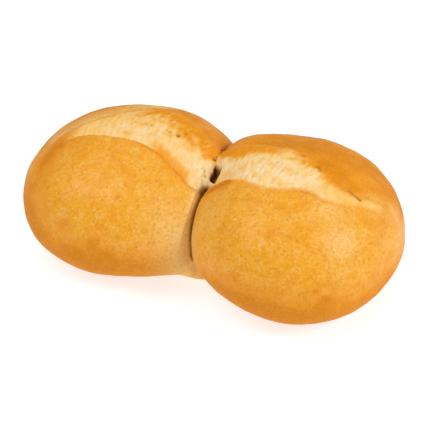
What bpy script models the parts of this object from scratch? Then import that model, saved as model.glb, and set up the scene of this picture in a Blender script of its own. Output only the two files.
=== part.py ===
"""A double bread roll: two rounds of dough that baked together, cut once across both with a knife.

Metres, +Z up. The origin is under the middle of the roll, on the surface that it rests on.
+X runs along the pair, from the lower round to the taller one, and -Y faces the front.
The whole roll is one piece of bread, so it is one closed solid with a flat base.
"""

import math
from collections import namedtuple

import bmesh
import bpy
from mathutils import Matrix, Vector

MM = 0.001

# A round of dough: its middle, how far it reaches each way from there, how far its long axis is
# turned about the vertical, how square its plan is (2 is an ellipse), and its swells. A swell is
# (bearing, rise, height, spread): a soft bulge, or a hollow where the height is negative, in the
# direction of that bearing from +X and rise above the level. Angles are in degrees.
Round = namedtuple("Round", "middle left right front back up down turn squareness swells")

LOWER_ROUND = Round(
    middle=Vector((-34.5, -0.75, 21)) * MM,
    left=41 * MM,
    right=47.5 * MM,
    front=41.5 * MM,
    back=43 * MM,
    up=30 * MM,
    down=25.5 * MM,
    turn=10,
    squareness=2.16,
    swells=(
        (180, 35, -1.1 * MM, 35),
        (120, 55, -1.4 * MM, 30),
        (75, 50, 0.9 * MM, 30),
        (300, -30, -0.6 * MM, 30),
        (215, 10, 0.5 * MM, 35),
        (25, 30, 0.5 * MM, 28),
    ),
)
TALLER_ROUND = Round(
    middle=Vector((35.5, 0.25, 21)) * MM,
    left=42 * MM,
    right=40 * MM,
    front=43.5 * MM,
    back=42.5 * MM,
    up=32.5 * MM,
    down=25.5 * MM,
    turn=5,
    squareness=2.13,
    swells=(
        (125, 45, 0.5 * MM, 30),
        (148, 36, 1.8 * MM, 18),
        (180, 30, 0.6 * MM, 28),
        (235, -20, -2.5 * MM, 32),
        (20, 40, -1.0 * MM, 30),
        (80, 50, -0.5 * MM, 30),
    ),
)
# The web of dough, low down, where the rounds grew into each other.
WEB = Round(
    middle=Vector((0.5, -1, 13)) * MM,
    left=20 * MM,
    right=20 * MM,
    front=24.5 * MM,
    back=24.5 * MM,
    up=24 * MM,
    down=15 * MM,
    turn=0,
    squareness=2,
    swells=(),
)
SIDE_SQUARENESS = 2.2  # how square a round is seen from the side

# The knife cut, as (x, y) in millimetres. The crust lifts as a lip along its front edge, and pale
# crumb fills it to its back edge.
CUT_FRONT = ((-60, -15), (-50, -10), (-38, -8), (-25, -8.5), (-14, -11), (-5, -14.5), (6, -14.5),
             (18, -14.5), (32, -16.5), (44, -13.5), (56, -12), (66, -3))
CUT_BACK = ((-60, -14), (-54, -6), (-46, 6), (-37, 15), (-28, 19), (-18, 17.5), (-8, 14),
            (2, 9.5), (18, 9.5), (28, 10), (40, 4), (52, -3), (60, -3), (66, -2))
CUT_FADE = 7 * MM  # the cut dies away over this length at each end
LIP_HEIGHT = 1.0 * MM
LIP_WIDTH = 2.6 * MM
VALLEY_DEPTH = 1.8 * MM  # just behind the lip
VALLEY_WIDTH = 3.2 * MM
CRUMB_SWELL = 1.0 * MM  # the crumb's crown, between the valley and the back edge
CROWN_START = 21 * MM  # the cut's relief begins above this height
CROWN_FULL = 33 * MM

# The crease between the rounds, and the pit where it meets the cut.
CREASE_DEPTH = 2.0 * MM
CREASE_WIDTH = 2.4 * MM
PIT_PLACE = Vector((4, -9)) * MM
PIT_REACH = Vector((3, 6)) * MM
PIT_DEPTH = 5 * MM

BALL_SUBDIVISIONS = 6
EVEN_FACE = 1.2 * MM
TRIANGLES = 6600
CRUST_COLOUR = (0.86, 0.40, 0.055, 1.0)
CRUST_ROUGHNESS = 0.55


def remove_everything():
    for old in list(bpy.data.objects):
        bpy.data.objects.remove(old, do_unlink=True)


def crust_material():
    material = bpy.data.materials.new("golden_crust")
    material.use_nodes = True
    shader = material.node_tree.nodes["Principled BSDF"]
    shader.inputs["Base Color"].default_value = CRUST_COLOUR
    shader.inputs["Roughness"].default_value = CRUST_ROUGHNESS
    shader.inputs["Metallic"].default_value = 0.0
    return material


def ease(share):
    """0 to 1, starting and ending level."""
    share = min(max(share, 0.0), 1.0)
    return share * share * (3 - 2 * share)


def bump(distance, reach):
    """1 at no distance, dying away over the reach."""
    return math.exp(-((distance / reach) ** 2))


def line_at(line, x):
    """The y of a line given in millimetres, at this x."""
    x /= MM
    for (start, low), (end, high) in zip(line, line[1:]):
        if x <= end:
            share = max(x - start, 0) / (end - start)
            return (low + (high - low) * share) * MM
    return line[-1][1] * MM


def towards(bearing, rise):
    """The unit direction at a bearing from +X and a rise above the level, in degrees."""
    turn = Matrix.Rotation(math.radians(bearing), 3, "Z")
    return turn @ Vector((math.cos(math.radians(rise)), 0, math.sin(math.radians(rise))))


def reach(dough, direction):
    """How far the round's skin is from its middle, in this unit direction."""
    x, y, z = Matrix.Rotation(math.radians(-dough.turn), 3, "Z") @ direction
    x = abs(x) / (dough.left if x < 0 else dough.right)
    y = abs(y) / (dough.front if y < 0 else dough.back)
    z = abs(z) / (dough.down if z < 0 else dough.up)
    plan = (x**dough.squareness + y**dough.squareness) ** (1 / dough.squareness)
    distance = (plan**SIDE_SQUARENESS + z**SIDE_SQUARENESS) ** (-1 / SIDE_SQUARENESS)
    for bearing, rise, height, spread in dough.swells:
        away = math.degrees(direction.angle(towards(bearing, rise)))
        distance += height * bump(away, spread)
    return distance


def outside(dough, point):
    """How far a point is outside the round's skin, along the line from its middle."""
    away = point - dough.middle
    return away.length - reach(dough, away.normalized())


def round_of_dough(name, dough):
    """A ball pushed out to the round's own reach in every direction."""
    shape = bmesh.new()
    bmesh.ops.create_icosphere(shape, subdivisions=BALL_SUBDIVISIONS, radius=1.0)
    for vert in shape.verts:
        direction = vert.co.normalized()
        vert.co = dough.middle + direction * reach(dough, direction)
    mesh = bpy.data.meshes.new(name)
    shape.to_mesh(mesh)
    shape.free()
    made = bpy.data.objects.new(name, mesh)
    bpy.context.scene.collection.objects.link(made)
    return made


def applied(obj):
    """A mesh of the object with its modifiers applied."""
    bpy.context.view_layer.update()
    graph = bpy.context.evaluated_depsgraph_get()
    return bpy.data.meshes.new_from_object(obj.evaluated_get(graph))


def fused_skin():
    """One skin over both rounds and the web between them, with even faces."""
    first = round_of_dough("lower_round", LOWER_ROUND)
    others = [round_of_dough("taller_round", TALLER_ROUND), round_of_dough("web", WEB)]
    for other in others:
        union = first.modifiers.new(other.name, "BOOLEAN")
        union.operation = "UNION"
        union.solver = "EXACT"
        union.object = other
    even = first.modifiers.new("even_faces", "REMESH")
    even.mode = "VOXEL"
    even.voxel_size = EVEN_FACE
    skin = applied(first)
    for helper in [first, *others]:
        bpy.data.objects.remove(helper, do_unlink=True)
    return skin


def cut_relief(x, y):
    """How far the knife cut lifts or lowers the crown here."""
    front = line_at(CUT_FRONT, x)
    back = line_at(CUT_BACK, x)
    behind = y - front
    left_end = ease((x - CUT_FRONT[0][0] * MM) / CUT_FADE)
    right_end = ease((CUT_FRONT[-1][0] * MM - x) / CUT_FADE)
    lip = LIP_HEIGHT * bump(behind + LIP_WIDTH / 2, LIP_WIDTH)
    valley = VALLEY_DEPTH * bump(behind - VALLEY_WIDTH / 2, VALLEY_WIDTH)
    share = min(max(behind / (back - front), 0.0), 1.0)
    swell = CRUMB_SWELL * math.sin(math.pi * share)
    return left_end * right_end * (lip - valley + swell)


def crease_relief(point):
    """The move into the crease here. It lies where both rounds' skins meet, clear of the web."""
    between = outside(LOWER_ROUND, point) - outside(TALLER_ROUND, point)
    clear = ease(outside(WEB, point) / CREASE_WIDTH)
    inwards = WEB.middle - point
    inwards.x = 0
    return inwards.normalized() * CREASE_DEPTH * bump(between, CREASE_WIDTH) * clear


def pit_relief(x, y):
    beside = (x - PIT_PLACE.x) / PIT_REACH.x
    along = (y - PIT_PLACE.y) / PIT_REACH.y
    return PIT_DEPTH * bump(math.hypot(beside, along), 1)


def carve(mesh):
    """The lip, the crumb, the crease and the pit, as moves of the skin's points."""
    shape = bmesh.new()
    shape.from_mesh(mesh)
    for vert in shape.verts:
        x, y, z = vert.co
        crown = ease((z - CROWN_START) / (CROWN_FULL - CROWN_START))
        lift = crown * (cut_relief(x, y) - pit_relief(x, y))
        vert.co += Vector((0, 0, lift)) + crease_relief(vert.co)
    shape.to_mesh(mesh)
    shape.free()


def flat_base(mesh):
    """Cuts off what is below z = 0, closes it with a flat face, and centres it on the origin."""
    shape = bmesh.new()
    shape.from_mesh(mesh)
    everything = shape.verts[:] + shape.edges[:] + shape.faces[:]
    bmesh.ops.bisect_plane(
        shape, geom=everything, plane_co=(0, 0, 0), plane_no=(0, 0, -1), clear_outer=True
    )
    rim = [edge for edge in shape.edges if edge.is_boundary]
    for vert in {vert for edge in rim for vert in edge.verts}:
        vert.co.z = 0.0
    base = bmesh.ops.edgenet_fill(shape, edges=rim)["faces"]
    bmesh.ops.recalc_face_normals(shape, faces=shape.faces[:])
    bmesh.ops.triangulate(shape, faces=base)
    across = sorted(vert.co.x for vert in shape.verts)
    deep = sorted(vert.co.y for vert in shape.verts)
    centre = Vector((across[0] + across[-1], deep[0] + deep[-1], 0)) / 2
    bmesh.ops.translate(shape, verts=shape.verts[:], vec=-centre)
    shape.to_mesh(mesh)
    shape.free()


def double_roll():
    skin = fused_skin()
    carve(skin)
    roll = bpy.data.objects.new("double_roll", skin)
    bpy.context.scene.collection.objects.link(roll)
    fewer = roll.modifiers.new("fewer_faces", "DECIMATE")
    skin.calc_loop_triangles()
    fewer.ratio = TRIANGLES / len(skin.loop_triangles)
    roll.data = applied(roll)
    roll.modifiers.clear()
    flat_base(roll.data)
    roll.data.name = "double_roll"
    roll.data.shade_smooth()
    roll.data.materials.append(crust_material())


remove_everything()
double_roll()
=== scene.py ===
"""A double bread roll on a plain pale studio floor, laid out as an add-on and run as a script.

Lengths in the sizes below are in metres. Where a line or a relief is worked out point by point
the working unit is the millimetre, and names that end in _mm say so.
"""

import math
from collections import namedtuple

import bmesh
import bpy
import numpy as np
from mathutils import Matrix, Vector, noise


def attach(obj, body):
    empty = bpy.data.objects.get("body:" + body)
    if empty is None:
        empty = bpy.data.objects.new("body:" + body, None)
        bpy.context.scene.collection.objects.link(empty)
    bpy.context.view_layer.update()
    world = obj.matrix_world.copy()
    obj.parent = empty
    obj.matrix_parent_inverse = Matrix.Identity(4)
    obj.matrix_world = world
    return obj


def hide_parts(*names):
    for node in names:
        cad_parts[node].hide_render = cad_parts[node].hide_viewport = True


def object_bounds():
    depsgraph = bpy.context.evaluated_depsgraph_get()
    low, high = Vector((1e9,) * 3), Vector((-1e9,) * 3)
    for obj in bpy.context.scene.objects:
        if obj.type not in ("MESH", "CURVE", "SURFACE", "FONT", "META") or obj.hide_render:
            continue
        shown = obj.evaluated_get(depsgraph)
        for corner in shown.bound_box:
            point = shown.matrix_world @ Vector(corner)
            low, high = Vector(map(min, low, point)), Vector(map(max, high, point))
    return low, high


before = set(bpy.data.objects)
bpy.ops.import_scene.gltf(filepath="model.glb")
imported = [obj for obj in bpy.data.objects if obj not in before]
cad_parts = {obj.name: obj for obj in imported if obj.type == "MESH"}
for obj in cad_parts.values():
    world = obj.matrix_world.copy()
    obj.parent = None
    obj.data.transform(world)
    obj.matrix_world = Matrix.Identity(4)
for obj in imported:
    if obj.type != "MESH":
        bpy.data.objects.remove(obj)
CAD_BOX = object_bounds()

bl_info = {
    "name": "Double bread roll",
    "version": (1, 0, 0),
    "blender": (4, 5, 0),
    "location": "View3D > Sidebar > Bakery",
    "description": "Models a golden double bread roll with a burst knife cut, and a plain studio",
    "category": "Add Mesh",
}

MM = 0.001
NODE = "double_roll"
BODY = "root"


def linear(code):
    """An sRGB hex colour as linear red, green and blue."""
    values = [int(code[i : i + 2], 16) / 255 for i in (0, 2, 4)]
    return tuple(v / 12.92 if v <= 0.04045 else ((v + 0.055) / 1.055) ** 2.4 for v in values)


# ---------------------------------------------------------------------------------------------
# Dough: the rounds and the web between them


# A round of dough in millimetres: its middle, how far it reaches each way from there, how far its
# long axis is turned about the vertical, how square its plan is (2 is an ellipse), and its swells.
# A swell is (bearing, rise, height, spread): a soft bulge, or a hollow where the height is
# negative, towards that bearing from +X and rise above the level. Angles are in degrees.
Round = namedtuple("Round", "middle left right front back up down turn squareness swells")

LOWER_ROUND = Round(
    middle=(-34.5, -0.75, 21),
    left=41,
    right=47.5,
    front=41.5,
    back=43,
    up=30,
    down=25.5,
    turn=10,
    squareness=2.16,
    swells=(
        (180, 35, -1.1, 35),
        (120, 55, -1.4, 30),
        (75, 50, 0.9, 30),
        (300, -30, -0.6, 30),
        (215, 10, 0.5, 35),
        (25, 30, 0.5, 28),
        (38, 24, -0.8, 16),
        (206, 20, 0.9, 14),
    ),
)
TALLER_ROUND = Round(
    middle=(35.5, 0.25, 21),
    left=42,
    right=40,
    front=43.5,
    back=42.5,
    up=32.5,
    down=25.5,
    turn=5,
    squareness=2.13,
    swells=(
        (125, 45, 0.5, 30),
        (148, 36, 2.9, 18),
        (206, 35, -1.3, 10),
        (133, 52, -1.3, 13),
        (10, 8, 1.1, 20),
        (180, 30, 0.6, 28),
        (235, -20, -2.5, 32),
        (20, 40, -1.0, 30),
        (80, 50, -0.5, 30),
    ),
)
WEB = Round(
    middle=(0.5, -1, 13),
    left=20,
    right=20,
    front=24.5,
    back=24.5,
    up=24,
    down=15,
    turn=0,
    squareness=2,
    swells=(),
)
SIDE_SQUARENESS = 2.2  # how square a round is seen from the side
BALL_SUBDIVISIONS = 7
SOFTENING_STEPS = 14

# The knife cut, as (x, y) in millimetres. The crust lifts as a lip along its front edge, and
# pale crumb fills it to its back edge.
CUT_FRONT = ((-62, -14.5), (-56, -11.8), (-50, -9.5), (-38, -8), (-25, -8.5), (-14, -11.9),
             (-9, -14.3), (-4, -16.2), (6, -14.5), (18, -14.5), (32, -16.5), (44, -13.2),
             (50, -14), (57, -12), (60.5, -8.6), (64, -5), (70, 1.5))
CUT_BACK = ((-62, -11), (-59, -4), (-54, 1.2), (-50, 5.4), (-45, 10.6), (-37, 17.2), (-28, 22),
            (-18, 20.5), (-8, 15), (2, 10), (18, 9.5), (28, 9.5), (40, 4), (52, -3.2),
            (58.5, -2.4), (62, -1.8), (66, 2.6), (70, 7))
CUT_FADE_MM = 7

# How high the lip stands along the cut, as (x, height) in millimetres.
LIP_HEIGHT = ((-62, 0), (-50, 0.3), (-30, 0.5), (-12, 0.8), (0, 1.0), (9, 1.1), (15, 0.4),
              (40, 0.4), (58, 0.4), (70, 0))
# Where the right lip rolled up into an ear beside the crease, and how far in front of the cut's
# edge the groove under the ear runs at the ear's two ends, in millimetres.
EAR_START = 3.0
EAR_END = 16.5
EAR_GROOVE = (1.8, 0.6)

# Open bubbles in the crumb, as (x, y, radius, depth) in millimetres.
BUBBLES = (
    (-29, 4.5, 0.5, 0.8), (-27, 4, 0.55, 0.9), (-20.7, 4.3, 0.5, 0.9), (-19, 3.6, 0.6, 1.4),
    (-15.4, 3.5, 0.8, 2.0), (-34.3, 9, 0.45, 0.5), (-33.6, 4.8, 0.55, 0.8), (-30.4, 16, 0.55, 0.9),
    (-27.7, 15.7, 0.45, 0.6), (-36, 10, 0.55, 0.8), (35.2, 5.2, 0.8, 1.5), (42.4, 0.8, 0.8, 1.7),
    (43.5, -0.6, 0.55, 1.4), (28, -3, 0.45, 0.6), (17, -2, 0.4, 0.5), (-1.2, -5.6, 0.4, 0.8),
    (0, -5.9, 0.4, 1.0), (0.5, -7.4, 0.45, 1.1), (-0.4, -8.4, 0.35, 0.8), (-4, -4.5, 0.35, 0.5),
    (0.3, 2.8, 0.5, 1.6), (0, 4.3, 0.4, 1.0), (6.2, -5.5, 0.4, 0.9), (5.6, -3.9, 0.45, 1.1),
    (5, -2.3, 0.35, 0.8), (-35, 14, 0.65, 1.2), (-32, 12.5, 0.6, 1.0), (-31.5, 18, 0.6, 1.1),
    (-26.5, 12.8, 0.65, 1.4), (-25.5, 17.3, 0.6, 1.1), (-22, 11.5, 0.55, 1.0), (-23.6, 8.6, 0.45, 0.8),
    (-19, 14.5, 0.45, 0.7), (-13.5, 6.5, 0.5, 0.9), (-11, 2.5, 0.4, 0.7),
)
SMALL_BUBBLES = 220

# Spots where the crust caught, as (x, y, z, radius) in millimetres.
SPOTS = (
    (19, -33, 40, 3.2), (20, -37, 34, 2.6), (27, -41, 27, 2.0), (37, -33, 43, 1.8),
    (30, -42, 18, 2.2), (60, -33, 30, 1.6), (57, -37, 27, 1.6), (60, -35, 23, 1.8),
    (-42, -40, 30, 3.0), (-30, -42, 26, 2.6), (-24, -36, 36, 1.8), (-52, -30, 30, 2.2),
    (-60, -19, 41, 4.0), (-57, -14, 44, 3.0),
)
# Pale patches, as (x, y, z, radius, share): floury crust, and the second one, on the right round, a
# painted sheen.
PALE_AND_SHEEN_PATCHES = (
    (54, -17, 48.5, 5.5, 0.55), (62, -25, 39.5, 8, 0.40), (-7, -28, 37, 8, 0.40),
    (66, -2, 44, 5, 0.35), (11, -25, 40, 6, 0.30),
)
# Where flour dulled the crust, in the same way.
DULL_PATCHES = ((17, -29, 42, 11, 0.7),)
CRACK = ((56.6, -3.8), (61.0, -4.6))  # a short tear at the right end of the cut

# The hole where the cut crosses the crease.
HOLE_MM = (4.0, -5.5)
HOLE_ALONG = (0.375, -0.927)  # which way its long axis points
HOLE_HALF_MM = (5.1, 2.4)  # half its length and half its width
HOLE_DEPTH_MM = 5.0
POCKET_Y_MM = -13.4  # where the crease opens again in front of the hole

# Folds of stretched crust behind the cut's left end, as (how far behind its back edge in
# millimetres, strength).
FOLDS = ((0.2, 1.6), (3.4, 0.7), (6.6, 0.6))


def ease(share):
    """0 to 1, starting and ending level."""
    share = np.clip(share, 0.0, 1.0)
    return share * share * (3 - 2 * share)


def bump(distance, reach_mm):
    """1 at no distance, dying away over the reach."""
    return np.exp(-((distance / reach_mm) ** 2))


def smooth_line(line, x):
    """The height of a smooth curve through the line's points, at each x."""
    knots, heights = np.array(line, float).T
    slopes = np.gradient(heights, knots)
    x = np.clip(x, knots[0], knots[-1])
    start = np.clip(np.searchsorted(knots, x) - 1, 0, len(knots) - 2)
    span = knots[start + 1] - knots[start]
    t = (x - knots[start]) / span
    low, high = heights[start], heights[start + 1]
    leave, arrive = slopes[start] * span, slopes[start + 1] * span
    return (
        low
        + t * leave
        + t**2 * (3 * (high - low) - 2 * leave - arrive)
        + t**3 * (2 * (low - high) + leave + arrive)
    )


def lumps(points, size_mm, seed):
    """Smooth noise from about -1 to 1. The size may differ along x, y and z."""
    shift = np.array((17.3, -9.1, 5.7)) * seed
    places = points / np.array(size_mm, float) + shift
    return np.array([noise.noise(place) for place in places.tolist()])


def towards(bearing, rise):
    """The unit direction at a bearing from +X and a rise above the level, in degrees."""
    b, r = math.radians(bearing), math.radians(rise)
    return np.array((math.cos(b) * math.cos(r), math.sin(b) * math.cos(r), math.sin(r)))


def reach(dough, directions):
    """How far the round's skin is from its middle, in each unit direction."""
    turn = np.array(Matrix.Rotation(math.radians(dough.turn), 3, "Z"))
    x, y, z = (directions @ turn).T
    x = np.abs(x) / np.where(x < 0, dough.left, dough.right)
    y = np.abs(y) / np.where(y < 0, dough.front, dough.back)
    z = np.abs(z) / np.where(z < 0, dough.down, dough.up)
    plan = (x**dough.squareness + y**dough.squareness) ** (1 / dough.squareness)
    distance = (plan**SIDE_SQUARENESS + z**SIDE_SQUARENESS) ** (-1 / SIDE_SQUARENESS)
    for bearing, rise, height, spread in dough.swells:
        away = np.degrees(np.arccos(np.clip(directions @ towards(bearing, rise), -1, 1)))
        distance += height * bump(away, spread)
    return distance


def outside(dough, points):
    """How far each point is outside the round's skin, along the line from its middle."""
    away = points - dough.middle
    length = np.linalg.norm(away, axis=1)
    return length - reach(dough, away / length[:, None])


def points_of(mesh):
    """The mesh's points, in millimetres."""
    flat = np.empty(len(mesh.vertices) * 3)
    mesh.vertices.foreach_get("co", flat)
    return flat.reshape(-1, 3) / MM


def move_points(mesh, points):
    mesh.vertices.foreach_set("co", (points * MM).ravel())
    mesh.update()


def applied(obj):
    """A mesh of the object with its modifiers applied."""
    bpy.context.view_layer.update()
    graph = bpy.context.evaluated_depsgraph_get()
    return bpy.data.meshes.new_from_object(obj.evaluated_get(graph))


def fused_dough(face_size):
    """One skin over both rounds and the web between them, with even faces."""
    shape = bmesh.new()
    for dough in (LOWER_ROUND, TALLER_ROUND, WEB):
        made = bmesh.ops.create_icosphere(shape, subdivisions=BALL_SUBDIVISIONS, radius=1.0)
        balls = made["verts"]
        directions = np.array([vert.co.normalized() for vert in balls])
        places = dough.middle + directions * reach(dough, directions)[:, None]
        for vert, place in zip(balls, places * MM):
            vert.co = place
    mesh = bpy.data.meshes.new("dough")
    shape.to_mesh(mesh)
    shape.free()
    helper = bpy.data.objects.new("dough", mesh)
    bpy.context.scene.collection.objects.link(helper)
    even = helper.modifiers.new("even_faces", "REMESH")
    even.mode = "VOXEL"
    even.voxel_size = face_size
    even.use_smooth_shade = True
    skin = applied(helper)
    bpy.data.objects.remove(helper, do_unlink=True)
    return skin


def refine(mesh, wanted):
    """Halves the faces whose corners are all wanted, to hold finer relief."""
    shape = bmesh.new()
    shape.from_mesh(mesh)
    shape.verts.ensure_lookup_table()
    edges = [edge for edge in shape.edges if all(wanted[vert.index] for vert in edge.verts)]
    bmesh.ops.subdivide_edges(shape, edges=edges, cuts=1, use_grid_fill=True)
    shape.to_mesh(mesh)
    shape.free()


def soften(mesh, chosen):
    """Smooths the skin where it is chosen."""
    shape = bmesh.new()
    shape.from_mesh(mesh)
    shape.verts.ensure_lookup_table()
    verts = [shape.verts[index] for index in np.flatnonzero(chosen)]
    for _ in range(SOFTENING_STEPS):
        bmesh.ops.smooth_vert(
            shape, verts=verts, factor=0.5, use_axis_x=True, use_axis_y=True, use_axis_z=True
        )
    shape.to_mesh(mesh)
    shape.free()


def finer_zone(points):
    """Which points lie in the cut or by the front of the crease."""
    behind, width, opened = cut_marks(points)
    between, clear = crease_marks(points)
    in_cut = (opened > 0.1) & (behind > -4) & (behind < width + 5)
    in_crease = (np.abs(between) < 3) & (clear > 0.2) & (points[:, 1] < 20)
    return in_cut | in_crease


# ---------------------------------------------------------------------------------------------
# Relief: what rising, the knife and the oven did to the dough


def cut_marks(points):
    """Where each point lies against the knife cut: behind its front edge, across and along."""
    x, y, z = points.T
    front = smooth_line(CUT_FRONT, x) + 0.5 * lumps(points, (5, 40, 40), 1)
    back = smooth_line(CUT_BACK, x) + 0.9 * lumps(points, (6, 40, 40), 2)
    ends = ease((x - CUT_FRONT[0][0]) / CUT_FADE_MM) * ease((CUT_FRONT[-1][0] - x) / CUT_FADE_MM)
    crown = ease((z - 21) / 12)
    return y - front, np.maximum(back - front, 0.5), ends * crown


def crumb_of(points, behind, width, opened):
    """How much of each point is bare crumb, from 0 to 1. It fades raggedly into the back crust."""
    x = points[:, 0]
    ragged = 0.6 * lumps(points, (2.2, 4.0, 4.0), 3) + 0.45 * lumps(points, (0.9, 1.6, 1.6), 4)
    patchy = 2.5 * lumps(points, (6.0, 5.0, 5.0), 5) + 1.2 * lumps(points, (1.8, 1.8, 1.8), 6)
    soft = 0.9 + 1.6 * ease((x - 14) / 14)  # the right lip wore through to the crumb
    past_folds = 1.5 * ease((-27 - x) / 8)
    inside = ease((behind + ragged + soft - 0.9) / soft)
    inside *= ease((width + past_folds - behind + patchy) / 4.0)
    return inside * ease(opened / 0.5) * ease((x + 57) / 6)


def toast_of(points, behind, share):
    """How far the crumb has toasted, from 0 (cream) to 1 (as gold as the crust)."""
    x, y, z = points.T
    start = np.where(x < 2, 0.20 + 0.10 * ease((-20 - x) / 12), 0.38)
    toast = 0.18 + 0.82 * ease((share - start) / 0.62)
    toast += 0.08 * ease((2 - x) / 4) + (0.06 + 0.16 * share) * ease((-27 - x) / 10)
    # The wall under the left lip is a smooth, lightly toasted band.
    band = ease((x + 28) / 10) * ease((-1 - x) / 5) * bump(behind - 2.4, 4.4)
    toast = np.maximum(toast, 0.92 * band)
    # Browned shoulder beside the crease, and a darker line along the left lip: the crust's thin edge,
    # partly painted shade under the lip.
    shoulder = np.exp(-(((x - 10) / 7.0) ** 2) - ((y - 6.0) / 5.5) ** 2)
    toast = toast + 1.8 * shoulder * ease((x - 1.5) / 2)
    edge = ease((x + 34) / 10) * ease((4 - x) / 4) * bump(behind - 0.2, 0.5)
    toast = toast + 0.8 * edge + 0.35 * ease((x - 44) / 10) + 0.3 * ease((-43 - x) / 7)
    quiet = 1 - 0.7 * ease((x - 48) / 8) - 0.6 * band
    toast += quiet * (0.40 * lumps(points, (5.0, 4.0, 4.0), 13)
                      + 0.35 * lumps(points, (1.3, 2.8, 2.8), 14))
    toast -= 0.5 * np.exp(-(((x + 2.5) / 5.5) ** 2) - ((y + 3.5) / 5) ** 2)
    return np.clip(toast, 0, 1 - 0.5 * ease((-30 - x) / 8))


def bake_and_shade_of(points, past, between):
    """How brown the crust is, from 0 (gold) to 1 (amber); towards the bottom the browning is partly
    painted shade.
    """
    x, y, z = points.T
    # Browner towards the bottom: partly browned crust, partly painted shade.
    low = 1.0 * ease((32 - z) / 20) * (1 - 0.3 * ease((11 - z) / 8))
    left_end = 0.70 * ease((-42 - x) / 20) * ease((z - 12) / 14)
    behind_cut = 0.70 * ease((past + 4) / (4 + 10 * ease((x - 56) / 8))) * ease((z - 22) / 12)
    tops = 0.25 * bump(z - 38, 9) * ease((-y - 8) / 6)
    clouds = 0.28 * lumps(points, (14, 14, 14), 15) + 0.22 * lumps(points, (5, 5, 5), 16)
    ragged = lumps(points, (2.0, 2.0, 2.0), 24)
    for spot in SPOTS:
        away = np.linalg.norm(points - spot[:3], axis=1)
        clouds += 0.6 * bump(away, spot[3]) * (1 + 0.6 * ragged)
    return np.clip(0.12 + low + np.maximum(left_end, behind_cut) - tops + clouds, 0, 1)


def patches_of(points, patches):
    """How much the patches cover each point, from 0 to about 1."""
    ragged = 1 + 0.5 * lumps(points, (6.0, 2.0, 2.0), 25) + 0.4 * lumps(points, (1.5, 1.5, 1.5), 26)
    cover = np.zeros(len(points))
    for patch in patches:
        away = np.linalg.norm(points - patch[:3], axis=1)
        cover += patch[4] * bump(away, patch[3])
    return cover * ragged


def bubble_pits(points, bubbles):
    """How deep the open bubbles are at each point. Their outlines are ragged."""
    x = points[:, 0] + 0.45 * lumps(points, (0.9, 0.9, 0.9), 21)
    y = points[:, 1] + 0.45 * lumps(points, (0.9, 0.9, 0.9), 22)
    depth = np.zeros(len(x))
    for place_x, place_y, radius, deep in bubbles:
        near = (np.abs(x - place_x) < 3 * radius) & (np.abs(y - place_y) < 3 * radius)
        away = np.hypot(x[near] - place_x, y[near] - place_y) / radius
        depth[near] = np.maximum(depth[near], deep * np.exp(-(away**3)))
    return depth


def scattered_bubbles():
    """Small bubbles strewn over the crumb, the same ones each time."""
    rng = np.random.default_rng(7)
    found = []
    for _ in range(SMALL_BUBBLES):
        x = rng.uniform(-48, 50)
        front = smooth_line(CUT_FRONT, np.array([x]))[0]
        back = smooth_line(CUT_BACK, np.array([x]))[0]
        y = front + (back - front) * rng.uniform(0.1, 0.95)
        found.append((x, y, rng.uniform(0.25, 0.45), rng.uniform(0.2, 0.6)))
    return tuple(found)


def hole_share(points):
    """How deep each point is in the ragged hole, from 0 to 1. It narrows towards the back."""
    x, y, z = points.T
    along = (x - HOLE_MM[0]) * HOLE_ALONG[0] + (y - HOLE_MM[1]) * HOLE_ALONG[1]
    across = (x - HOLE_MM[0]) * -HOLE_ALONG[1] + (y - HOLE_MM[1]) * HOLE_ALONG[0]
    half_width = HOLE_HALF_MM[1] * (0.4 + 0.6 * ease((along + 4) / 5))
    away = np.hypot(along / HOLE_HALF_MM[0], across / half_width)
    away += 0.22 * lumps(points, (1.3, 1.3, 1.3), 19)
    return ease((1.05 - away) / 0.45) * ease((z - 24) / 8)


def crease_marks(points):
    """How near each point is to the crease between the rounds, and how clear of the web."""
    between = outside(LOWER_ROUND, points) - outside(TALLER_ROUND, points)
    clear = ease(outside(WEB, points) / 2.0)
    return between, clear


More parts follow.
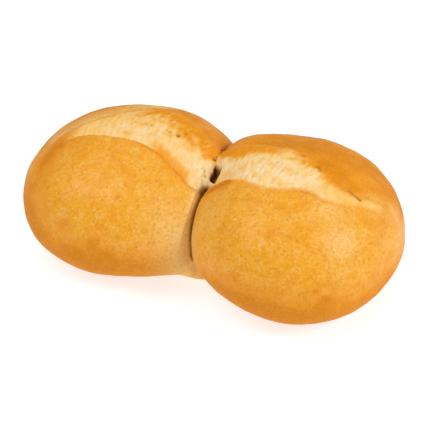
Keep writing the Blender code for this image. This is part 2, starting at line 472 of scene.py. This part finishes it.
def shape_skin(mesh):
    """Moves the skin's points and returns what the material needs to know about each."""
    points = points_of(mesh)
    x, y, z = points.T
    behind, width, opened = cut_marks(points)
    between, clear = crease_marks(points)
    share = np.clip(behind / width, 0, 1)
    past = behind - width
    crumb = crumb_of(points, behind, width, opened)
    toast = toast_of(points, behind, share)
    bake_and_shade = bake_and_shade_of(points, past, between)
    grain = crumb * (1 - 0.75 * ease((x + 30) / 10) * ease((1 - x) / 4) * bump(behind - 1.6, 2.0))

    # The lip rises slowly from the front and falls steeply into the cut, leaning over it.
    lip = smooth_line(LIP_HEIGHT, x)
    profile = np.where(behind < 0, bump(behind, 4.5), bump(behind, 0.8))
    valley = ease(behind / 1.4) * np.exp(-np.maximum(behind, 0) / 5)
    rise = lip * profile - 1.7 * lip * valley + 1.0 * np.sin(np.pi * share)
    back_edge = -0.10 * bump(past, 1.2)
    lean = 0.9 * lip * bump(behind + 0.3, 1.3)
    # Beside the crease the right lip rolled up into an ear with a groove in front of it.
    ear = ease((x - EAR_START) / 3) * ease((EAR_END - x) / 4)
    along_ear = np.clip((x - EAR_START) / (EAR_END - EAR_START), 0, 1)
    groove = ear * bump(behind + EAR_GROOVE[0] + (EAR_GROOVE[1] - EAR_GROOVE[0]) * along_ear, 0.6)
    rise += 0.6 * ear * bump(behind + 0.6, 1.3) - 0.9 * groove
    score = ease((x - 38) / 5) * ease((59 - x) / 5) * bump(behind + 1.3, 0.55)
    rise -= 0.35 * score

    # Torn crumb: strands that run across the cut, small lumps, and open bubbles.
    strands = (0.20 * lumps(points, (1.0, 4.0, 4.0), 8) + 0.25 * lumps(points, (1.3, 1.8, 1.8), 9)
               + 0.36 * lumps(points, (3.2, 5.0, 5.0), 17))
    holes = opened * bubble_pits(points, BUBBLES)
    holes += 0.8 * grain * bubble_pits(points, scattered_bubbles())
    torn = grain * strands - holes

    fold_reach = ease((-38 - x) / 6) * ease((x + 63) / 8) * ease((z - 34) / 6)
    fold_reach *= 0.3 + 0.7 * ease(0.5 + 1.3 * lumps(points, (7, 7, 7), 27))
    wander = 1.2 * lumps(points, (9, 9, 9), 18)
    folds = sum(strength * bump(past - place + wander, 0.6) for place, strength in FOLDS)
    folds = np.minimum(fold_reach * folds, 1)
    beside = np.column_stack((x, past + wander, np.zeros(len(x))))
    streaks = fold_reach * bump(past - 2, 6) * lumps(beside, (16, 1.7, 1), 23)

    hole = hole_share(points)
    crack = crack_depth(x, y)

    uneven = 0.40 * lumps(points, (15, 15, 15), 10) + 0.16 * lumps(points, (5, 5, 5), 11)
    # Skin pulled tight towards the crease wrinkles along the pull.
    tight = bump(between + 12, 11) * ease((z - 8) / 8) * ease((-y - 8) / 8) * (between < 0)
    wrinkles = 0.22 * tight * lumps(points, (7.0, 7.0, 1.5), 20)

    up = opened * (rise + back_edge) + torn - 0.6 * folds + 0.5 * streaks - HOLE_DEPTH_MM * hole - crack
    # Where crumb fills the cut the crease is only a thin gap.
    filled = opened * crumb
    gap = 0.6 + 0.8 * ease((y - 9) / 3)
    by_pocket = bump(y - POCKET_Y_MM, 2.4)
    gap += 1.3 * by_pocket
    from_gap = between - 0.3 - 1.0 * by_pocket
    joined = filled * ease((11 - y) / 3) * ease((y - POCKET_Y_MM - 1.6) / 1.5)
    depth = 3.4 - 1.2 * ease((y - 9) / 4) - 2.2 * by_pocket
    crease = clear * (1 - 0.93 * joined) * (depth * bump(from_gap, gap) + 0.5 * bump(between, 4.0))
    # The lower round's flank runs almost straight up to the front of the crease.
    flank = 0.9 * bump(between + 3.2, 2.8) * ease((-y - 5) / 6) * ease((z - 24) / 10)
    inwards = np.array(WEB.middle) - points
    inwards[:, 0] = 0
    inwards /= np.linalg.norm(inwards, axis=1)[:, None]
    tufts = 0.55 * lumps(points, (1.7, 1.7, 1.7), 12) * bump(between, 5) * filled

    # The web runs smoothly into the lower round's flank.
    to_web = outside(LOWER_ROUND, points) - outside(WEB, points)
    blend = 2.0 * bump(to_web, 5.5) * ease(outside(TALLER_ROUND, points) / 3) * (z < 40)
    blend = blend * ease((z - 3) / 9)

    outwards = points - np.where(x[:, None] < 0.5, LOWER_ROUND.middle, TALLER_ROUND.middle)
    outwards /= np.linalg.norm(outwards, axis=1)[:, None]
    points = points + outwards * (uneven + tufts + wrinkles + flank)[:, None]
    points += inwards * (crease - blend)[:, None]
    points[:, 2] += up
    points[:, 1] += opened * lean

    # The base flattened itself against the baking tray.
    points[:, 2] = (points[:, 2] + np.sqrt(points[:, 2] ** 2 + 1.0)) / 2
    move_points(mesh, points)
    soften(mesh, (bump(to_web, 3) > 0.1) & (between < -1.0) & (y < 0) & (z > 2) & (behind < -2))

    # Painted shade: the crease, the pocket in front of the hole, the hole, the bubbles and the tear are
    # darkened in colour, and so is the lower round's flank beside the crease low down.
    seam_shade = clear * (1 - 0.9 * joined) * bump(from_gap, gap) * (0.5 + 0.25 * ease((26 - z) / 10))
    shade = 0.55 * ease((hole - 0.05) / 0.3) + 0.9 * ease((hole - 0.35) / 0.6)
    pocket_shade = clear * by_pocket * bump(from_gap, gap + 1.2) * (z > 26)
    seam_shade += 0.10 * clear * bump(between + 2.5, 2.5) * ease((30 - z) / 10) * ease(-y / 8)
    deep = np.clip(seam_shade + 0.7 * pocket_shade + shade + 0.3 * holes + 0.4 * crack, 0, 1)
    pale_side = np.where(between < 0, bump(between, 12), 0.7 * bump(between, 8))
    upper_edge = 0.85 * bump(between + 1.5, 3.0) * (1 - ear)
    # Browning along the lips: the ear's rolled edge, and darker lines along the grooves under the right
    # lip and the ear and under the left lip's edge, which are partly painted shade.
    lip_bake_and_shade = 0.6 * ear * bump(behind + 1.5, 2.5) + 0.7 * score
    lip_bake_and_shade += 0.8 * ease((x + 34) / 10) * ease((4 - x) / 4) * bump(behind + 0.2, 0.7)
    pale = np.maximum(pale_side * ease((40 - z) / 12), upper_edge) * ease((-y - 4) / 8)
    # Stretched skin along the left end's rim stayed pale between its folds.
    rim = ease((-22 - x) / 10) * ease(past / 1.5) * bump(past - 4, 8) * ease((z - 36) / 8)
    # The pale patches hold a painted sheen on the right round.
    pale = np.maximum(pale, 0.75 * rim * (1 - 0.9 * folds)) + patches_of(points, PALE_AND_SHEEN_PATCHES)
    pale += 0.9 * np.maximum(streaks, 0)
    return {
        "crumb": crumb,
        "toast": np.clip(toast + 0.6 * folds - 0.9 * streaks, 0, 1),
        "bake_and_shade": np.clip(bake_and_shade + 0.5 * folds - 1.2 * streaks + 1.0 * groove + lip_bake_and_shade, 0, 1),
        "deep": deep,
        "pale": np.clip(pale, 0, 1),
        "shine": np.clip(1 - bake_and_shade - patches_of(points, DULL_PATCHES), 0, 1),
    }


def crack_depth(x, y):
    """The short tear at the right end of the cut."""
    (start_x, start_y), (end_x, end_y) = CRACK
    along = np.clip((x - start_x) / (end_x - start_x), 0, 1)
    away = np.hypot(x - (start_x + along * (end_x - start_x)),
                    y - (start_y + along * (end_y - start_y)))
    return 1.3 * bump(away, 0.6)


# ---------------------------------------------------------------------------------------------
# Materials


def add_node(tree, kind, settings=None, links=None):
    """Adds a node, sets its properties and unlinked inputs, and links its other inputs."""
    node = tree.nodes.new(kind)
    for key, value in (settings or {}).items():
        if isinstance(key, str) and hasattr(node, key):
            setattr(node, key, value)
        else:
            node.inputs[key].default_value = value
    for key, source in (links or {}).items():
        tree.links.new(source, node.inputs[key])
    return node


def baked_bread(finish):
    """Wheat dough baked golden: a thin satin crust over matt, pale crumb.

    The crust is browner at the left end, behind the cut and towards the bottom, where the browning is
    partly painted shade, and is covered in fine blisters about a millimetre across, which break its
    soft shine into specks. The crumb in the cut is cream, matt and stringy. Shade in the crease, the
    hole, the bubbles and along the lips is painted into the colour, and a sheen is painted on the right
    round.
    """
    material = bpy.data.materials.new("baked_wheat_bread")
    material.use_nodes = True
    tree = material.node_tree
    tree.nodes.clear()
    place = add_node(tree, "ShaderNodeTexCoord").outputs["Object"]

    # What the dough's points know about themselves, from 0 to 1.
    marks = {}
    for name in ("crumb", "toast", "bake_and_shade", "deep", "pale", "shine"):
        mark = add_node(tree, "ShaderNodeAttribute", {"attribute_name": name})
        marks[name] = mark.outputs["Fac"]
    # Fine blisters, the specks on them and patches that browned together: size in millimetres,
    # detail and roughness.
    for name, size_mm, detail, rough in (
        ("fine", 1.2, 3, 0.6),
        ("speck", 0.8, 2, 0.5),
        ("blotch", 4.2, 3, 0.55),
    ):
        cloud = add_node(
            tree,
            "ShaderNodeTexNoise",
            {"Scale": 1 / (size_mm * MM), "Detail": detail, "Roughness": rough},
            {"Vector": place},
        )
        marks[name] = cloud.outputs["Fac"]

    # Each colour goes over the one before, as (where, start, end, most, colour): it begins where
    # the mark passes the start, and is at its most from the end on.
    coats = {
        "crust": (
            ("speck", 0.54, 0.74, 0.8, finish.crust_pale),
            ("blotch", 0.46, 0.30, 0.3, finish.crust_pale),
            # Browning, partly painted shade towards the bottom and along the lips.
            ("bake_and_shade", 0, 0.85, 0.92, finish.crust_amber),
            ("bake_and_shade", 0.65, 1.05, 0.7, finish.crust_brown),
            ("blotch", 0.50, 0.72, 0.6, finish.crust_amber),
            # Pale skin and patches, one of them a painted sheen.
            ("pale", 0, 1, 0.95, finish.pale_skin_and_sheen),
            ("fine", 0.50, 0.70, 0.55, finish.crust_brown),
            ("speck", 0.46, 0.30, 0.55, finish.crust_gold),
        ),
        "inside": (
            ("toast", 0, 0.55, 1, finish.crumb_gold),
            ("toast", 0.5, 1, 1, finish.crumb_toast),
            ("fine", 0.55, 0.75, 0.35, finish.crumb_toast),
        ),
        # Painted shade in the crease, the hole, the bubbles and the tear.
        "depths": (
            ("deep", 0, 0.6, 1, finish.crease_shade),
            ("deep", 0.6, 1, 1, finish.hole_shade),
        ),
    }
    painted = {}
    for name, first in (
        ("crust", {6: (*finish.crust_gold, 1)}),
        ("inside", {6: (*finish.crumb_cream, 1)}),
        ("depths", {}),
    ):
        under = None
        if name == "depths":
            both = add_node(
                tree,
                "ShaderNodeMix",
                {"data_type": "RGBA"},
                {0: marks["crumb"], 6: painted["crust"], 7: painted["inside"]},
            )
            under = both.outputs[2]
        for where, start, end, most, colour in coats[name]:
            share = add_node(
                tree,
                "ShaderNodeMapRange",
                {"From Min": start, "From Max": end, "To Max": most},
                {"Value": marks[where]},
            )
            coat = add_node(
                tree,
                "ShaderNodeMix",
                {"data_type": "RGBA", 7: (*colour, 1), **first},
                {0: share.outputs[0], **({6: under} if under else {})},
            )
            first = {}
            under = coat.outputs[2]
        painted[name] = under

    # The blisters stand about a fifth of a millimetre proud.
    height = add_node(
        tree, "ShaderNodeMix", {"data_type": "FLOAT", 0: 0.4}, {2: marks["fine"], 3: marks["speck"]}
    )
    relief = add_node(
        tree,
        "ShaderNodeBump",
        {"Strength": 1.0, "Distance": 0.25 * MM},
        {"Height": height.outputs[0]},
    )
    # Gold crust has a satin shine, browned crust less, and crumb hardly any.
    satin = add_node(
        tree, "ShaderNodeMapRange", {"To Min": 0.75, "To Max": 0.26}, {"Value": marks["shine"]}
    )
    rough = add_node(
        tree,
        "ShaderNodeMix",
        {"data_type": "FLOAT", 3: 0.85},
        {0: marks["crumb"], 2: satin.outputs[0]},
    )
    shader = add_node(
        tree,
        "ShaderNodeBsdfPrincipled",
        {"IOR": 1.45, "Specular IOR Level": 0.24},
        {
            "Base Color": painted["depths"],
            "Roughness": rough.outputs[0],
            "Normal": relief.outputs["Normal"],
        },
    )
    add_node(tree, "ShaderNodeOutputMaterial", links={"Surface": shader.outputs["BSDF"]})
    return material


def lit_acrylic(finish):
    """Opal acrylic lit from below, as on a product table: matt, white and almost shadowless."""
    material = bpy.data.materials.new("opal_acrylic_sheet")
    material.use_nodes = True
    tree = material.node_tree
    tree.nodes.clear()
    place = add_node(tree, "ShaderNodeTexCoord").outputs["Object"]
    cloud = add_node(tree, "ShaderNodeTexNoise", {"Scale": 20.0, "Detail": 2.0}, {"Vector": place})
    milky = add_node(
        tree,
        "ShaderNodeMix",
        {
            "data_type": "RGBA",
            6: (*finish.acrylic_body, 1),
            7: (*(0.99 * value for value in finish.acrylic_body), 1),
        },
        {0: cloud.outputs["Fac"]},
    )
    shader = add_node(
        tree,
        "ShaderNodeBsdfPrincipled",
        {
            "Roughness": 0.9,
            "Specular IOR Level": 0.1,
            "Emission Color": (*finish.acrylic, 1),
            "Emission Strength": 0.70,
        },
        {"Base Color": milky.outputs[2]},
    )
    add_node(tree, "ShaderNodeOutputMaterial", links={"Surface": shader.outputs["BSDF"]})
    return material


# ---------------------------------------------------------------------------------------------
# Settings that a user would change


class BreadRollSizes(bpy.types.PropertyGroup):
    face_size: bpy.props.FloatProperty(
        name="Face size", description="Width of the skin's faces", default=0.83 * MM, unit="LENGTH"
    )


class BreadRollFinish(bpy.types.PropertyGroup):
    crust_gold: bpy.props.FloatVectorProperty(
        name="Crust gold", description="Lightest main colour of the crust", size=3,
        subtype="COLOR", default=linear("F2A826"),
    )
    crust_amber: bpy.props.FloatVectorProperty(
        name="Crust amber", description="Browner parts of the crust", size=3, subtype="COLOR",
        default=linear("E88C00"),
    )
    crust_brown: bpy.props.FloatVectorProperty(
        name="Crust brown", description="Fine dark mottling of the crust", size=3,
        subtype="COLOR", default=linear("CC7C06"),
    )
    crust_pale: bpy.props.FloatVectorProperty(
        name="Crust pale", description="Tops of the fine blisters", size=3, subtype="COLOR",
        default=linear("F9C97E"),
    )
    # Pale skin where the rounds touched, pale streaks and patches, and the colour of the painted sheen
    # on the right round.
    pale_skin_and_sheen: bpy.props.FloatVectorProperty(
        name="Web skin", description="Pale skin where the rounds touched", size=3,
        subtype="COLOR", default=linear("F4C878"),
    )
    crumb_cream: bpy.props.FloatVectorProperty(
        name="Crumb cream", description="Palest crumb in the cut", size=3, subtype="COLOR",
        default=linear("F8D8A2"),
    )
    crumb_gold: bpy.props.FloatVectorProperty(
        name="Crumb gold", description="Lightly toasted crumb", size=3, subtype="COLOR",
        default=linear("F7C36A"),
    )
    crumb_toast: bpy.props.FloatVectorProperty(
        name="Crumb toast", description="Most toasted crumb", size=3, subtype="COLOR",
        default=linear("EC960A"),
    )
    # Painted shade: the crease colour darkens the crease, the bubbles and the tear, and the hole colour
    # darkens the bottom of the hole.
    crease_shade: bpy.props.FloatVectorProperty(
        name="Crease brown", description="Depths of the crease and the bubbles", size=3,
        subtype="COLOR", default=linear("8A5C08"),
    )
    hole_shade: bpy.props.FloatVectorProperty(
        name="Hole dark", description="Bottom of the hole in the middle", size=3,
        subtype="COLOR", default=linear("8C5410"),
    )
    acrylic: bpy.props.FloatVectorProperty(
        name="Acrylic", description="Light that the studio's floor gives", size=3,
        subtype="COLOR", default=linear("FAFDFF"),
    )
    acrylic_body: bpy.props.FloatVectorProperty(
        name="Acrylic body", description="Milky body of the studio's floor", size=3,
        subtype="COLOR", default=linear("BCBEC0"),
    )


class StudioSettings(bpy.types.PropertyGroup):
    turn: bpy.props.FloatProperty(
        name="Camera turn", description="Bearing of the camera round the roll",
        default=math.radians(23.4), subtype="ANGLE",
    )
    lift: bpy.props.FloatProperty(
        name="Camera lift", description="Height of the camera above the level",
        default=math.radians(36), subtype="ANGLE",
    )
    distance: bpy.props.FloatProperty(
        name="Camera distance", description="From the camera to the roll", default=0.62,
        unit="LENGTH",
    )
    lens: bpy.props.FloatProperty(
        name="Lens", description="Focal length in millimetres", default=133.8
    )
    room: bpy.props.FloatProperty(
        name="Room light", description="Strength of the white room around the roll", default=0.38
    )
    lamp: bpy.props.FloatProperty(
        name="Lamp power", description="Power of the main soft lamp", default=0.65, unit="POWER"
    )


# ---------------------------------------------------------------------------------------------
# Operators


class BAKERY_OT_double_roll(bpy.types.Operator):
    """Model the double roll's crust and crumb as one skin"""

    bl_idname = "bakery.double_roll"
    bl_label = "Double roll"

    def execute(self, context):
        scene = context.scene
        skin = fused_dough(scene.bread_roll_sizes.face_size)
        refine(skin, finer_zone(points_of(skin)))
        for name, values in shape_skin(skin).items():
            layer = skin.attributes.new(name, "FLOAT", "POINT")
            layer.data.foreach_set("value", values.astype(np.float32))
        skin.materials.append(baked_bread(scene.bread_roll_finish))
        skin.shade_smooth()
        piece = bpy.data.objects.new("double_roll_skin", skin)
        scene.collection.objects.link(piece)
        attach(piece, BODY)
        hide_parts(NODE)
        if len(skin.polygons) < 1000:
            raise RuntimeError("the dough has no skin")
        return {"FINISHED"}


class BAKERY_OT_studio(bpy.types.Operator):
    """Lay the lit floor and set the lamps, the room light and the camera"""

    bl_idname = "bakery.studio"
    bl_label = "Studio"

    def execute(self, context):
        scene = context.scene
        settings = scene.bread_roll_studio
        lay_floor(scene)
        low, high = CAD_BOX
        middle = (low + high) / 2
        aim_camera(scene, settings, middle + Vector((1.9, -0.9, -6.7)) * MM)
        light_room(scene, settings, middle)
        scene.view_settings.view_transform = "Standard"
        return {"FINISHED"}


def lay_floor(scene):
    shape = bmesh.new()
    bmesh.ops.create_grid(shape, x_segments=8, y_segments=8, size=3.0)
    mesh = bpy.data.meshes.new("acrylic_floor")
    shape.to_mesh(mesh)
    shape.free()
    mesh.materials.append(lit_acrylic(scene.bread_roll_finish))
    floor = bpy.data.objects.new("acrylic_floor", mesh)
    scene.collection.objects.link(floor)


def facing(place, target):
    """The turn that points a lamp or a camera at the target."""
    return (target - place).to_track_quat("-Z", "Y").to_euler()


def aim_camera(scene, settings, target):
    level = math.cos(settings.lift)
    back = Vector((
        math.sin(settings.turn) * level,
        -math.cos(settings.turn) * level,
        math.sin(settings.lift),
    ))
    lens = bpy.data.cameras.new("studio_camera")
    lens.lens = settings.lens
    lens.sensor_width = 36
    lens.clip_start = 0.01
    camera = bpy.data.objects.new("studio_camera", lens)
    camera.location = target + back * settings.distance
    camera.rotation_euler = facing(camera.location, target)
    scene.collection.objects.link(camera)
    scene.camera = camera


# Soft lamps, as (name, place from the roll's middle in metres, width in metres, share of power).
LAMPS = (
    ("left_softbox", (-0.30, -0.25, 0.58), 0.44, 2.85),
    ("right_softbox", (0.60, -0.08, 0.45), 0.26, 3.6),
    ("top_softbox", (0.05, 0.32, 0.70), 0.90, 1.6),
)


def light_room(scene, settings, middle):
    room = bpy.data.worlds.new("white_room")
    room.use_nodes = True
    background = room.node_tree.nodes["Background"]
    background.inputs["Color"].default_value = (1, 1, 1, 1)
    background.inputs["Strength"].default_value = settings.room
    scene.world = room
    for name, place, width, share in LAMPS:
        lamp = bpy.data.lights.new(name, "AREA")
        lamp.size = width
        lamp.energy = settings.lamp * share
        holder = bpy.data.objects.new(name, lamp)
        holder.location = middle + Vector(place)
        holder.rotation_euler = facing(holder.location, middle)
        scene.collection.objects.link(holder)


class BAKERY_PT_bread_roll(bpy.types.Panel):
    """The roll, its finish and the studio"""

    bl_idname = "BAKERY_PT_bread_roll"
    bl_label = "Double bread roll"
    bl_space_type = "VIEW_3D"
    bl_region_type = "UI"
    bl_category = "Bakery"

    def draw(self, context):
        for group in ("bread_roll_sizes", "bread_roll_finish", "bread_roll_studio"):
            settings = getattr(context.scene, group)
            box = self.layout.box()
            for name in settings.bl_rna.properties.keys():
                if name not in ("rna_type", "name"):
                    box.prop(settings, name)
        self.layout.operator(BAKERY_OT_double_roll.bl_idname)
        self.layout.operator(BAKERY_OT_studio.bl_idname)


CLASSES = (
    BreadRollSizes,
    BreadRollFinish,
    StudioSettings,
    BAKERY_OT_double_roll,
    BAKERY_OT_studio,
    BAKERY_PT_bread_roll,
)


def register():
    for cls in CLASSES:
        bpy.utils.register_class(cls)
    bpy.types.Scene.bread_roll_sizes = bpy.props.PointerProperty(type=BreadRollSizes)
    bpy.types.Scene.bread_roll_finish = bpy.props.PointerProperty(type=BreadRollFinish)
    bpy.types.Scene.bread_roll_studio = bpy.props.PointerProperty(type=StudioSettings)


def unregister():
    del bpy.types.Scene.bread_roll_studio
    del bpy.types.Scene.bread_roll_finish
    del bpy.types.Scene.bread_roll_sizes
    for cls in reversed(CLASSES):
        bpy.utils.unregister_class(cls)


def main():
    register()
    bpy.ops.bakery.double_roll()
    bpy.ops.bakery.studio()


if __name__ == "__main__":
    main()
